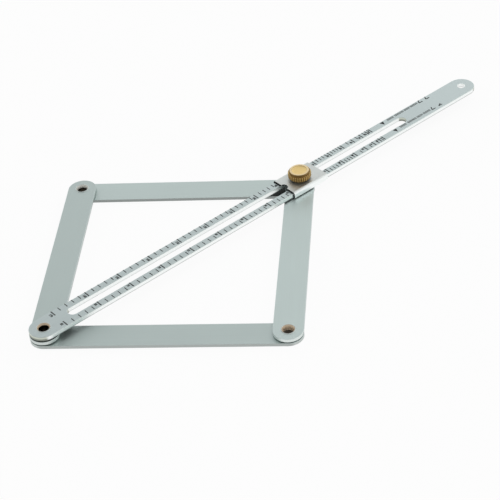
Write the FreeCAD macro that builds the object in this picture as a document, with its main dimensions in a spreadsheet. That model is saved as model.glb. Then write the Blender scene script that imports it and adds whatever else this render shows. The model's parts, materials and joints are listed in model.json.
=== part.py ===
import FreeCAD, Part
import math
import os
import Sketcher

# Protractor angle finder: four flat arms hinged into a rhombus, a slotted scale bar
# along its diagonal, and a bent saddle with a thumb knob that slides on the bar and
# is carried by the far corner of the rhombus. Lengths in millimetres, angles in
# degrees. The origin is on the vertex pivot's axis, on the surface the tool lies on.
# +X runs along the scale bar and +Z points up through the knob.

# Driving dimensions
SIZES = {
    # rhombus
    "pivot_pitch": 200.0,
    "opening_angle": 90.0,
    "arm_width": 25.4,
    "arm_thickness": 3.0,
    "arm_edge_round": 0.3,
    # scale bar
    "bar_width": 25.0,
    "bar_thickness": 4.0,
    "bar_edge_round": 0.5,
    "slot_width": 10.0,
    "slot_start": 25.0,
    "slot_finish": 416.2,
    "slot_edge_round": 0.3,
    "hanging_hole_place": 492.5,
    "hanging_hole_radius": 4.0,
    # hollow rivets with flared mouths, and the washers under their tails
    "rivet_bore_radius": 4.2,
    "rivet_wall": 1.1,
    "rivet_rim_overhang": 0.9,
    "rivet_head_height": 0.5,
    "rivet_crest_width": 0.2,
    "rivet_mouth_depth": 2.6,
    "rivet_tail_height": 1.0,
    "backing_washer_radius": 7.5,
    "backing_washer_thickness": 0.8,
    # spacer rings between the layers
    "spacer_radius": 8.5,
    "spacer_thickness": 1.0,
    # clamp bolt and slot bush
    "bolt_radius": 3.0,
    "bolt_head_radius": 6.5,
    "bolt_head_edge": 0.6,
    "bolt_flat_width": 5.0,
    "bolt_reach_in_knob": 4.2,
    "bush_relief": 0.1,
    # bent saddle
    "saddle_front": 19.0,
    "saddle_back": 21.0,
    "saddle_sheet": 1.5,
    "saddle_notch_radius": 4.0,
    "saddle_notch_lead": 0.7,
    # knob and its washer
    "knob_washer_radius": 6.3,
    "knob_washer_thickness": 1.2,
    "knob_radius": 10.5,
    "knob_height": 7.4,
    "knob_neck_inset": 0.3,
    "knob_foot_height": 1.1,
    "knob_cap_height": 2.0,
    "knob_cap_bevel": 0.9,
    "knob_edge_bevel": 0.3,
    "knob_dish_radius": 6.8,
    "knob_dish_depth": 0.4,
    "knob_dish_slope": 1.2,
    "knob_thread_depth": 5.2,
    "knurl_depth": 0.6,
    "knurl_width": 1.2,
    "knurl_count": 32,
    # clearances
    "layer_gap": 0.05,
    "pivot_gap": 0.05,
    "open_pivot_gap": 0.25,
    "ring_gap": 0.1,
    "slide_gap_top": 0.1,
    "slide_gap_side": 0.2,
    "slot_gap": 0.15,
    "flat_gap": 0.1,
}

# Places worked out from the sizes
PLACES = {
    "half_angle": "sizes.opening_angle / 2",
    "arm_half_width": "sizes.arm_width / 2",
    "bar_half_width": "sizes.bar_width / 2",
    "slot_half_width": "sizes.slot_width / 2",
    "tube_radius": "sizes.rivet_bore_radius + sizes.rivet_wall",
    "rim_radius": "tube_radius + sizes.rivet_rim_overhang",
    "mouth_edge": "rim_radius - sizes.rivet_head_height - sizes.rivet_crest_width",
    "mouth_flare": "mouth_edge - sizes.rivet_bore_radius",
    "mouth_curve": "(pow(mouth_flare; 2) + pow(sizes.rivet_mouth_depth; 2)) / (2 * mouth_flare)",
    "layer_space": "sizes.spacer_thickness + 2 * sizes.layer_gap",
    "backing_underside": "sizes.rivet_tail_height",
    "lower_arm_underside": "backing_underside + sizes.backing_washer_thickness",
    "lower_arm_top": "lower_arm_underside + sizes.arm_thickness",
    "lower_spacer_underside": "lower_arm_top + sizes.layer_gap",
    "upper_arm_underside": "lower_arm_top + layer_space",
    "upper_arm_top": "upper_arm_underside + sizes.arm_thickness",
    "upper_spacer_underside": "upper_arm_top + sizes.layer_gap",
    "bar_underside": "upper_arm_top + layer_space",
    "bar_top": "bar_underside + sizes.bar_thickness",
    "saddle_underside": "bar_top + sizes.slide_gap_top",
    "saddle_top": "saddle_underside + sizes.saddle_sheet",
    "knob_underside": "saddle_top + sizes.knob_washer_thickness",
    "knob_neck_radius": "sizes.knob_radius - sizes.knurl_depth - sizes.knob_neck_inset",
    "knob_shoulder": "sizes.knob_height - sizes.knob_cap_height",
    "bolt_tip": "knob_underside + sizes.bolt_reach_in_knob",
    "elbow_x": "sizes.pivot_pitch * cos(half_angle)",
    "elbow_y": "sizes.pivot_pitch * sin(half_angle)",
    "clamp_x": "2 * elbow_x",
    "saddle_half_inside": "bar_half_width + sizes.slide_gap_side",
    "saddle_half_outside": "saddle_half_inside + sizes.saddle_sheet",
    "saddle_inner_bend": "sizes.bar_edge_round + sizes.slide_gap_side",
    "saddle_outer_bend": "saddle_inner_bend + sizes.saddle_sheet",
}

# A sketch's own axes, whose meeting point is its origin, and the points of its elements
Y_AXIS, X_AXIS = range(-2, 0)
ORIGIN = X_AXIS
START, END, CENTRE = range(1, 4)
TOUCH = 1e-6

doc = FreeCAD.newDocument("angle_finder")


def fill_sheet(name, rows):
    """Puts each named value or formula in a row of a new sheet."""
    sheet = doc.addObject("Spreadsheet::Sheet", name)
    for row, (alias, content) in enumerate(rows.items(), start=1):
        sheet.set(f"A{row}", alias)
        sheet.set(f"B{row}", content)
        sheet.setAlias(f"B{row}", alias)
    return sheet


sizes = fill_sheet("sizes", {alias: str(number) for alias, number in SIZES.items()})
places = fill_sheet("places", {alias: "=" + formula for alias, formula in PLACES.items()})
doc.recompute()


def number(formula):
    """The present value of a formula on the two sheets."""
    return float(places.evalExpression(formula))


def new_body(name):
    body = doc.addObject("PartDesign::Body", name)
    body.Label = name
    return body


def put(body, x="0", y="0", z="0", angle="0"):
    """Binds a sub-part's place and its turn about Z to the sheets."""
    body.setExpression("Placement.Base.x", x)
    body.setExpression("Placement.Base.y", y)
    body.setExpression("Placement.Base.z", z)
    body.setExpression("Placement.Rotation.Axis.x", "0")
    body.setExpression("Placement.Rotation.Axis.y", "0")
    body.setExpression("Placement.Rotation.Axis.z", "1")
    body.setExpression("Placement.Rotation.Angle", angle)


def new_sketch(body, name, plane="XY_Plane", lift=None):
    """A sketch on one of the body's own planes, lifted off it by a formula."""
    sketch = body.newObject("Sketcher::SketchObject", name)
    support = [feature for feature in body.Origin.OriginFeatures if feature.Role == plane]
    sketch.AttachmentSupport = [(support[0], "")]
    sketch.MapMode = "FlatFace"
    if lift:
        sketch.setExpression("AttachmentOffset.Base.z", lift)
    return sketch


def bind(sketch, kind, elements, formula):
    """Adds a dimension whose value follows a formula."""
    label = f"size_{sketch.ConstraintCount}"
    sketch.addConstraint(Sketcher.Constraint(kind, *elements, number(formula)))
    sketch.renameConstraint(sketch.ConstraintCount - 1, label)
    sketch.setExpression("Constraints." + label, formula)


def pin_point(sketch, element, end, x, y):
    """Holds one point of the sketch at formulas x and y, on either side of the axes."""
    for kind, formula, axis in (("DistanceX", x, Y_AXIS), ("DistanceY", y, X_AXIS)):
        value = number(formula)
        if abs(value) < TOUCH:
            sketch.addConstraint(Sketcher.Constraint("PointOnObject", element, end, axis))
        elif value > 0:
            bind(sketch, kind, (ORIGIN, START, element, end), formula)
        else:
            bind(sketch, kind, (element, end, ORIGIN, START), f"-({formula})")


def add_circle(sketch, x, y, radius):
    centre = FreeCAD.Vector(number(x), number(y), 0)
    circle = sketch.addGeometry(Part.Circle(centre, FreeCAD.Vector(0, 0, 1), number(radius)))
    pin_point(sketch, circle, CENTRE, x, y)
    bind(sketch, "Radius", (circle,), radius)


def add_obround(sketch, first, last, radius):
    """A straight slot outline along X with full round ends centred at first and last."""
    x1, x2, r = number(first), number(last), number(radius)
    up = FreeCAD.Vector(0, 0, 1)
    quarter = math.pi / 2
    left = sketch.addGeometry(
        Part.ArcOfCircle(Part.Circle(FreeCAD.Vector(x1, 0, 0), up, r), quarter, 3 * quarter))
    lower = sketch.addGeometry(
        Part.LineSegment(FreeCAD.Vector(x1, -r, 0), FreeCAD.Vector(x2, -r, 0)))
    right = sketch.addGeometry(
        Part.ArcOfCircle(Part.Circle(FreeCAD.Vector(x2, 0, 0), up, r), -quarter, quarter))
    upper = sketch.addGeometry(
        Part.LineSegment(FreeCAD.Vector(x2, r, 0), FreeCAD.Vector(x1, r, 0)))
    for a, a_end, b, b_end in ((left, END, lower, START), (lower, END, right, START),
                               (right, END, upper, START), (upper, END, left, START)):
        sketch.addConstraint(Sketcher.Constraint("Tangent", a, a_end, b, b_end))
    pin_point(sketch, left, CENTRE, first, "0")
    pin_point(sketch, right, CENTRE, last, "0")
    bind(sketch, "Radius", (left,), radius)


def add_outline(sketch, corners):
    """A closed outline through corners (x, y) or (x, y, radius, bulge), all formulas.

    A corner with a radius starts an arc to the next corner. bulge is 1 where the arc
    turns left as the outline is followed, and -1 where it turns right.
    """
    points = [FreeCAD.Vector(number(c[0]), number(c[1]), 0) for c in corners]
    pieces = []
    for here, corner in enumerate(corners):
        a, b = points[here], points[(here + 1) % len(points)]
        if len(corner) == 2:
            piece = sketch.addGeometry(Part.LineSegment(a, b))
            pieces.append((piece, START, END))
            continue
        radius, bulge = number(corner[2]), corner[3]
        half_chord = (b - a) * 0.5
        rise = math.sqrt(max(radius ** 2 - half_chord.Length ** 2, 0))
        inward = FreeCAD.Vector(-half_chord.y, half_chord.x, 0).normalize() * bulge
        crest = a + half_chord + inward * (rise - radius)
        piece = sketch.addGeometry(Part.Arc(a, crest, b))
        starts_at_a = sketch.getPoint(piece, START).distanceToPoint(a) < TOUCH
        pieces.append((piece, START, END) if starts_at_a else (piece, END, START))
    for here, (piece, first, last) in enumerate(pieces):
        follower, follower_first, _ = pieces[(here + 1) % len(pieces)]
        sketch.addConstraint(
            Sketcher.Constraint("Coincident", piece, last, follower, follower_first))
        pin_point(sketch, piece, first, corners[here][0], corners[here][1])
        if len(corners[here]) > 2:
            bind(sketch, "Radius", (piece,), corners[here][2])


def pad(body, name, sketch, length):
    feature = body.newObject("PartDesign::Pad", name)
    feature.Profile = sketch
    feature.setExpression("Length", length)
    doc.recompute()
    return feature


def cut_through(body, name, sketch):
    """Cuts a sketch right through the body and makes sure that it removed something."""
    before = body.Shape.Volume
    feature = body.newObject("PartDesign::Pocket", name)
    feature.Profile = sketch
    feature.Type = "ThroughAll"
    feature.Midplane = True
    doc.recompute()
    if body.Shape.Volume > before - TOUCH:
        raise RuntimeError(f"{name} cuts nothing")
    return feature


def turn_solid(body, name, sketch):
    """Turns a half profile round the Z axis."""
    feature = body.newObject("PartDesign::Revolution", name)
    feature.Profile = sketch
    feature.ReferenceAxis = (sketch, ["V_Axis"])
    feature.Angle = 360
    doc.recompute()
    return feature


def round_edges(body, name, base, half_width, radius):
    """Rounds the edges of both faces along an obround outline of this half width."""
    reach = number(half_width)
    edges = []
    for index, edge in enumerate(base.Shape.Edges, start=1):
        box = edge.BoundBox
        if box.ZLength < TOUCH and abs(max(box.YMax, -box.YMin) - reach) < TOUCH:
            edges.append(f"Edge{index}")
    feature = body.newObject("PartDesign::Fillet", name)
    feature.Base = (base, edges)
    feature.setExpression("Radius", radius)
    doc.recompute()
    return feature


def make_arm(name, underside, angle, x, y, first_hole, last_hole):
    """A flat bar with round ends and a pivot hole centred on each end."""
    body = new_body(name)
    outline = new_sketch(body, name + "_outline")
    add_obround(outline, "0", "sizes.pivot_pitch", "places.arm_half_width")
    pad(body, name + "_blank", outline, "sizes.arm_thickness")
    holes = new_sketch(body, name + "_holes")
    add_circle(holes, "0", "0", first_hole)
    add_circle(holes, "sizes.pivot_pitch", "0", last_hole)
    drilled = cut_through(body, name + "_drilled", holes)
    round_edges(body, name + "_edges", drilled, "places.arm_half_width",
                "sizes.arm_edge_round")
    put(body, x, y, underside, angle)


def make_ring(name, outer, inner, thickness, x, y, underside):
    """A flat ring: a washer, a spacer or a bush."""
    body = new_body(name)
    outline = new_sketch(body, name + "_outline")
    add_circle(outline, "0", "0", outer)
    add_circle(outline, "0", "0", inner)
    pad(body, name + "_ring", outline, thickness)
    put(body, x, y, underside)


def make_rivet(name, seat, x, y):
    """A hollow rivet: a tube whose mouth flares to a low rim, with a spread tail below."""
    body = new_body(name)
    half = new_sketch(body, name + "_half", "XZ_Plane")
    bore, tube, rim = "sizes.rivet_bore_radius", "places.tube_radius", "places.rim_radius"
    head, tail = "sizes.rivet_head_height", "sizes.rivet_tail_height"
    crest = f"{seat} + {head}"
    add_outline(half, [
        (bore, "0"),
        (f"{rim} - {tail}", "0", tail, 1),
        (rim, tail),
        (tube, tail),
        (tube, seat),
        (rim, seat, head, 1),
        (f"{rim} - {head}", crest),
        ("places.mouth_edge", crest, "places.mouth_curve", 1),
        (bore, f"{crest} - sizes.rivet_mouth_depth"),
    ])
    turn_solid(body, name + "_turned", half)
    put(body, x, y)


def make_scale_bar():
    """The slotted bar with a pivot hole at the vertex and a hole to hang it by."""
    body = new_body("scale_bar")
    outline = new_sketch(body, "scale_bar_outline")
    add_obround(outline, "0", "sizes.hanging_hole_place", "places.bar_half_width")
    pad(body, "scale_bar_blank", outline, "sizes.bar_thickness")
    cuts = new_sketch(body, "scale_bar_openings")
    add_circle(cuts, "0", "0", "places.tube_radius + sizes.pivot_gap")
    add_obround(cuts, "sizes.slot_start + places.slot_half_width",
                "sizes.slot_finish - places.slot_half_width", "places.slot_half_width")
    add_circle(cuts, "sizes.hanging_hole_place", "0", "sizes.hanging_hole_radius")
    opened = cut_through(body, "scale_bar_opened", cuts)
    rounded = round_edges(body, "scale_bar_edges", opened, "places.bar_half_width",
                          "sizes.bar_edge_round")
    round_edges(body, "scale_bar_slot_edges", rounded, "places.slot_half_width",
                "sizes.slot_edge_round")
    put(body, z="places.bar_underside")


def make_saddle():
    """Sheet bent down over both edges of the bar, notched at its reading edge."""
    body = new_body("slider_saddle")
    section = new_sketch(body, "slider_saddle_section", "YZ_Plane", "-sizes.saddle_front")
    inside, outside = "places.saddle_half_inside", "places.saddle_half_outside"
    small, large = "places.saddle_inner_bend", "places.saddle_outer_bend"
    roof, top, foot = "places.saddle_underside", "places.saddle_top", "places.bar_underside"
    add_outline(section, [
        (outside, foot),
        (outside, f"{top} - {large}", large, 1),
        (f"{outside} - {large}", top),
        (f"{large} - {outside}", top, large, 1),
        (f"-{outside}", f"{top} - {large}"),
        (f"-{outside}", foot),
        (f"-{inside}", foot),
        (f"-{inside}", f"{roof} - {small}", small, -1),
        (f"{small} - {inside}", roof),
        (f"{inside} - {small}", roof, small, -1),
        (inside, f"{roof} - {small}"),
        (inside, foot),
    ])
    pad(body, "slider_saddle_bent", section, "sizes.saddle_front + sizes.saddle_back")
    notch = new_sketch(body, "slider_saddle_notch")
    add_circle(notch, "-sizes.saddle_front - sizes.saddle_notch_lead", "0",
               "sizes.saddle_notch_radius")
    cut_through(body, "slider_saddle_notched", notch)
    keyhole = new_sketch(body, "slider_saddle_keyhole")
    add_flatted_circle(keyhole, "sizes.bolt_radius + sizes.flat_gap",
                       "sizes.bolt_flat_width / 2 + sizes.flat_gap")
    cut_through(body, "slider_saddle_pierced", keyhole)
    put(body, x="places.clamp_x")


def add_flatted_circle(sketch, radius, half_flat):
    """A circle with two flats square to X."""
    edge = f"sqrt(pow({radius}; 2) - pow({half_flat}; 2))"
    add_outline(sketch, [
        (half_flat, f"-{edge}"),
        (half_flat, edge, radius, 1),
        (f"-({half_flat})", edge),
        (f"-({half_flat})", f"-{edge}", radius, 1),
    ])


def make_bolt():
    """Flat-headed bolt from below; its flatted end keys into the saddle."""
    body = new_body("clamp_bolt")
    half = new_sketch(body, "clamp_bolt_half", "XZ_Plane")
    head, edge, shank = "sizes.bolt_head_radius", "sizes.bolt_head_edge", "sizes.bolt_radius"
    seat, tip = "places.lower_arm_underside - sizes.layer_gap", "places.bolt_tip"
    add_outline(half, [
        ("0", "0"),
        (f"{head} - {edge}", "0", edge, 1),
        (head, edge),
        (head, seat),
        (shank, seat),
        (shank, f"{tip} - {edge}"),
        (f"{shank} - {edge}", tip),
        ("0", tip),
    ])
    turn_solid(body, "clamp_bolt_turned", half)
    for side, sign in (("front", "-"), ("back", "")):
        flat = new_sketch(body, f"clamp_bolt_{side}_flat", "XZ_Plane")
        low = "places.bar_top - sizes.bush_relief"
        near = f"{sign}(sizes.bolt_flat_width / 2)"
        far = f"{sign}(2 * {shank})"
        high = f"{tip} + {shank}"
        corners = [(near, low), (far, low), (far, high), (near, high)]
        add_outline(flat, corners)
        cut_through(body, f"clamp_bolt_{side}_flatted", flat)
    put(body, x="places.clamp_x")


def make_knob():
    """Knurled thumb knob with a smooth dished cap, a neck below and a blind threaded hole."""
    body = new_body("clamp_knob")
    half = new_sketch(body, "clamp_knob_half", "XZ_Plane")
    rim, bore = "sizes.knob_radius", "sizes.bolt_radius + sizes.pivot_gap"
    neck, bevel = "places.knob_neck_radius", "sizes.knob_edge_bevel"
    cap_bevel = "sizes.knob_cap_bevel"
    foot, shoulder = "sizes.knob_foot_height", "places.knob_shoulder"
    tall, dish, depth = "sizes.knob_height", "sizes.knob_dish_radius", "sizes.knob_dish_depth"
    add_outline(half, [
        (bore, "0"),
        (neck, "0"),
        (neck, foot),
        (f"{rim} - {bevel}", foot),
        (rim, f"{foot} + {bevel}"),
        (rim, f"{shoulder} - {bevel}"),
        (f"{rim} - {bevel}", shoulder),
        (neck, shoulder),
        (neck, f"{tall} - {cap_bevel}"),
        (f"{neck} - {cap_bevel}", tall),
        (dish, tall),
        (f"{dish} - sizes.knob_dish_slope", f"{tall} - {depth}"),
        ("0", f"{tall} - {depth}"),
        ("0", "sizes.knob_thread_depth"),
        (bore, "sizes.knob_thread_depth"),
    ])
    turn_solid(body, "clamp_knob_turned", half)
    tooth = new_sketch(body, "clamp_knob_knurl")
    outer = f"{rim} + sizes.knurl_depth"
    add_outline(tooth, [
        (f"{rim} - sizes.knurl_depth", "0"),
        (outer, "sizes.knurl_width"),
        (outer, "-sizes.knurl_width"),
    ])
    groove = cut_through(body, "clamp_knob_groove", tooth)
    pattern = body.newObject("PartDesign::PolarPattern", "clamp_knob_knurling")
    pattern.Originals = [groove]
    pattern.Axis = (tooth, ["N_Axis"])
    pattern.Angle = 360
    pattern.setExpression("Occurrences", "sizes.knurl_count")
    body.Tip = pattern
    doc.recompute()
    put(body, x="places.clamp_x", z="places.knob_underside")


def make_all():
    pinned = "places.tube_radius + sizes.pivot_gap"
    bolted = "sizes.bolt_radius + sizes.pivot_gap"
    low, high = "places.lower_arm_underside", "places.upper_arm_underside"
    left, right = "places.half_angle", "-places.half_angle"
    elbow_x, elbow_y = "places.elbow_x", "places.elbow_y"
    make_scale_bar()
    make_arm("left_inner_arm", high, left, "0", "0", pinned, pinned)
    make_arm("right_inner_arm", low, right, "0", "0", pinned, pinned)
    make_arm("left_outer_arm", low, right, elbow_x, elbow_y,
             pinned, "sizes.bolt_radius + sizes.open_pivot_gap")
    make_arm("right_outer_arm", high, left, elbow_x, f"-{elbow_y}", pinned, bolted)

    make_rivet("vertex_rivet", "places.bar_top", "0", "0")
    make_rivet("left_rivet", "places.upper_arm_top", elbow_x, elbow_y)
    make_rivet("right_rivet", "places.upper_arm_top", elbow_x, f"-{elbow_y}")
    on_tube = "places.tube_radius + sizes.ring_gap"
    on_bolt = "sizes.bolt_radius + sizes.ring_gap"
    for corner, x, y in (("vertex", "0", "0"), ("left", elbow_x, elbow_y),
                         ("right", elbow_x, f"-{elbow_y}")):
        make_ring(corner + "_backing_washer", "sizes.backing_washer_radius", on_tube,
                  "sizes.backing_washer_thickness - sizes.layer_gap", x, y,
                  "places.backing_underside")
        make_ring(corner + "_lower_spacer", "sizes.spacer_radius", on_tube,
                  "sizes.spacer_thickness", x, y, "places.lower_spacer_underside")
    make_ring("vertex_upper_spacer", "sizes.spacer_radius", on_tube,
              "sizes.spacer_thickness", "0", "0", "places.upper_spacer_underside")
    make_ring("clamp_lower_spacer", "sizes.spacer_radius", on_bolt,
              "sizes.spacer_thickness", "places.clamp_x", "0", "places.lower_spacer_underside")
    make_ring("clamp_upper_spacer", "sizes.spacer_radius", on_bolt,
              "sizes.spacer_thickness", "places.clamp_x", "0", "places.upper_spacer_underside")

    make_bolt()
    make_ring("slot_bush", "places.slot_half_width - sizes.slot_gap", on_bolt,
              "sizes.bar_thickness - sizes.bush_relief", "places.clamp_x", "0",
              "places.bar_underside")
    make_saddle()
    make_ring("knob_washer", "sizes.knob_washer_radius", on_bolt,
              "sizes.knob_washer_thickness", "places.clamp_x", "0", "places.saddle_top")
    make_knob()


def check_and_export():
    """Refuses a failed feature or a bad solid, then writes one file for each sub-part."""
    doc.recompute()
    for item in doc.Objects:
        if "Invalid" in item.State or "Error" in item.State:
            raise RuntimeError(f"{item.Label} failed: {item.State}")
    bodies = [item for item in doc.Objects if item.TypeId == "PartDesign::Body"]
    for body in bodies:
        if body.Shape.isNull() or not body.Shape.isValid() or len(body.Shape.Solids) != 1:
            raise RuntimeError(f"{body.Label} has a bad shape")
    os.makedirs("parts", exist_ok=True)
    for body in bodies:
        body.Shape.exportStep(f"parts/{body.Label}.step")
        print(body.Label, round(body.Shape.Volume, 1))


make_all()
check_and_export()
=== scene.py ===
import json
import math

import bmesh
import bpy
from bpy.props import FloatProperty, FloatVectorProperty, IntProperty, PointerProperty
from mathutils import Matrix, Quaternion, Vector


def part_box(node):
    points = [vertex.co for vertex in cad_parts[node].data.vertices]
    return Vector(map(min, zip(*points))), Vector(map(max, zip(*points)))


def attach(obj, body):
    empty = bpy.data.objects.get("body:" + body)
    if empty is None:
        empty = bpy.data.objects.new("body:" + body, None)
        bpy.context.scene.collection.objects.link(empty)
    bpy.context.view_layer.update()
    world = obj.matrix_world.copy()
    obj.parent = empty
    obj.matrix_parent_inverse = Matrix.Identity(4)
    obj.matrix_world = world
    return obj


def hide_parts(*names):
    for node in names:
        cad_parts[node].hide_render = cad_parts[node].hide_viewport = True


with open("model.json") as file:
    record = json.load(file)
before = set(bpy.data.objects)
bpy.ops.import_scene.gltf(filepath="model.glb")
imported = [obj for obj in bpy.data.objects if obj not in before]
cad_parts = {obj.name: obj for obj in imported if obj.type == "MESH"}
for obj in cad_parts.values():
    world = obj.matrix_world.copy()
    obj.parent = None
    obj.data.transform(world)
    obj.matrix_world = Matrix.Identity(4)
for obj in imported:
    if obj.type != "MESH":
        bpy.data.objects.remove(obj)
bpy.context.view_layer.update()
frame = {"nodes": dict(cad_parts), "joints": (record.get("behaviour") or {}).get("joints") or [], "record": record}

bl_info = {
    "name": "Angle finder looks",
    "version": (1, 1, 0),
    "blender": (4, 5, 0),
    "location": "3D View > Sidebar > Angle finder",
    "description": "Finishes, graduations and turned parts of a four-arm angle finder",
    "category": "Object",
}

MM = 0.001
# Degrees from one numbered line to the next
DECADE = 10

# Places and sizes that the frame gives, in metres
BAR_LOW, BAR_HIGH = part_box("scale_bar")
SADDLE_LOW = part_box("slider_saddle")[0]
KNOB_LOW, KNOB_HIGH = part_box("clamp_knob")
JOINTS = {joint["name"]: joint for joint in frame["joints"]}
MOUNTS = {mount["name"]: mount for mount in frame["record"]["mounts"]}
ELBOW = Vector(JOINTS["left_elbow"]["pos_m"])
ARM_PITCH = math.hypot(ELBOW.x, ELBOW.y)
CLAMP_AXIS = Vector((JOINTS["slider_pivot"]["pos_m"][0], 0, 0))
READING_LEAD = CLAMP_AXIS.x - SADDLE_LOW.x
HANGING_HOLE = Vector((MOUNTS["hanging_hole"]["pos_m"][0], 0, 0))
HANGING_HOLE_RADIUS = MOUNTS["hanging_hole"]["dims"]["r_mm"] * MM

# Each arm's turn about Z in degrees, and how bright its faces, its straight sides and its
# round ends are. These levels paint light and shade on one metal: the lower arms' sides are
# painted dark for the shade near the floor, the upper arms' sides and ends bright for the
# light they catch, and each arm's faces lighter or darker to the light on it.
ARMS = {
    "left_inner_arm": (45.0, 0.82, 0.62, 0.70),
    "right_outer_arm": (45.0, 0.93, 0.62, 0.80),
    "right_inner_arm": (-45.0, 0.84, 0.46, 0.60),
    "left_outer_arm": (-45.0, 0.89, 0.33, 0.50),
}

# Each hollow rivet's body, the bore that its mouth opens from, how far below the throat the
# bore's painted shade starts, and how tan its mouth is
RIVETS = {
    "vertex_rivet": ("scale_bar", "vertex_bore", -1.0 * MM, 1.0),
    "left_rivet": ("left_inner_arm", "left_bore", 0.0, 0.3),
    "right_rivet": ("right_inner_arm", "right_bore", 2.0 * MM, 1.0),
}

# The printed rows, in metres: the left row is read at the bar's left edge, the right row at
# its right edge. side is the direction from the bar's middle line, tick_top where the row's
# lines start, number_row, arrow_row and legend_row the middle lines of its numbers, its
# arrowhead and its strokes, and divide what the opening angle is divided by.
ROWS = {
    "left": {"side": 1, "tick_top": 12.3 * MM, "number_row": 8.1 * MM, "divide": 1,
             "arrow_row": 9.6 * MM, "legend_row": 10.0 * MM},
    "right": {"side": -1, "tick_top": 11.7 * MM, "number_row": 7.4 * MM, "divide": 2,
              "arrow_row": 7.6 * MM, "legend_row": 7.2 * MM},
}

# Waves to the metre of rolled metal's grain, along it, across it and through it
GRAIN = (16, 2600, 900)
# Heights of the relief on metal, and on plating and plastic
RELIEF = 0.03 * MM
FINE_RELIEF = 0.02 * MM
# Cosines from which a face starts to count as flat or straight, and at which it does
FLAT = (0.45, 0.75)
STRAIGHT = (0.90, 0.97)
# The font's capital height as a share of its size, and how far the numbers are narrowed
CAPITAL_SHARE = 0.72
NUMBER_SQUEEZE = 0.85


class AngleFinderSizes(bpy.types.PropertyGroup):
    """Sizes of the printed scale and the turned details"""

    first_degree: IntProperty(name="First degree", description="Sharpest angle on the scale",
                              default=10, min=2)
    last_degree: IntProperty(name="Last degree", description="Widest angle on the scale",
                             default=170, max=178)
    degree_step: IntProperty(name="Degree step", description="Angle from one tick to the next",
                             default=2, min=1)
    crowded_step: IntProperty(name="Crowded step", description="The same where lines would crowd",
                              default=5, min=1)
    least_spacing: FloatProperty(name="Least spacing", description="Least room between ticks",
                                 default=2.9 * MM, unit="LENGTH", precision=5)
    tick_width: FloatProperty(name="Tick width", description="Width of a short tick",
                              default=0.85 * MM, unit="LENGTH", precision=5)
    decade_width: FloatProperty(name="Decade width", description="Width of a numbered line",
                                default=1.1 * MM, unit="LENGTH", precision=5)
    tick_length: FloatProperty(name="Tick length", description="Length of a short tick",
                               default=4.5 * MM, unit="LENGTH", precision=5)
    decade_length: FloatProperty(name="Decade length", description="Length of a numbered line",
                                 default=6.6 * MM, unit="LENGTH", precision=5)
    ink_rise: FloatProperty(name="Ink rise", description="Height of the print over the metal",
                            default=0.03 * MM, unit="LENGTH", precision=6)
    number_height: FloatProperty(name="Number height", description="Height of the numbers",
                                 default=2.3 * MM, unit="LENGTH", precision=5)
    number_weight: FloatProperty(name="Number weight", description="How far strokes are thickened",
                                 default=0.18 * MM, unit="LENGTH", precision=6)
    number_lead: FloatProperty(name="Number lead",
                               description="From a numbered line back to its number's middle",
                               default=2.9 * MM, unit="LENGTH", precision=5)
    knurl_teeth: IntProperty(name="Knurl teeth", description="Teeth round the knob",
                             default=32, min=8)
    knurl_depth: FloatProperty(name="Knurl depth", description="Depth of the knob's knurl",
                               default=0.6 * MM, unit="LENGTH", precision=5)


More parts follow.
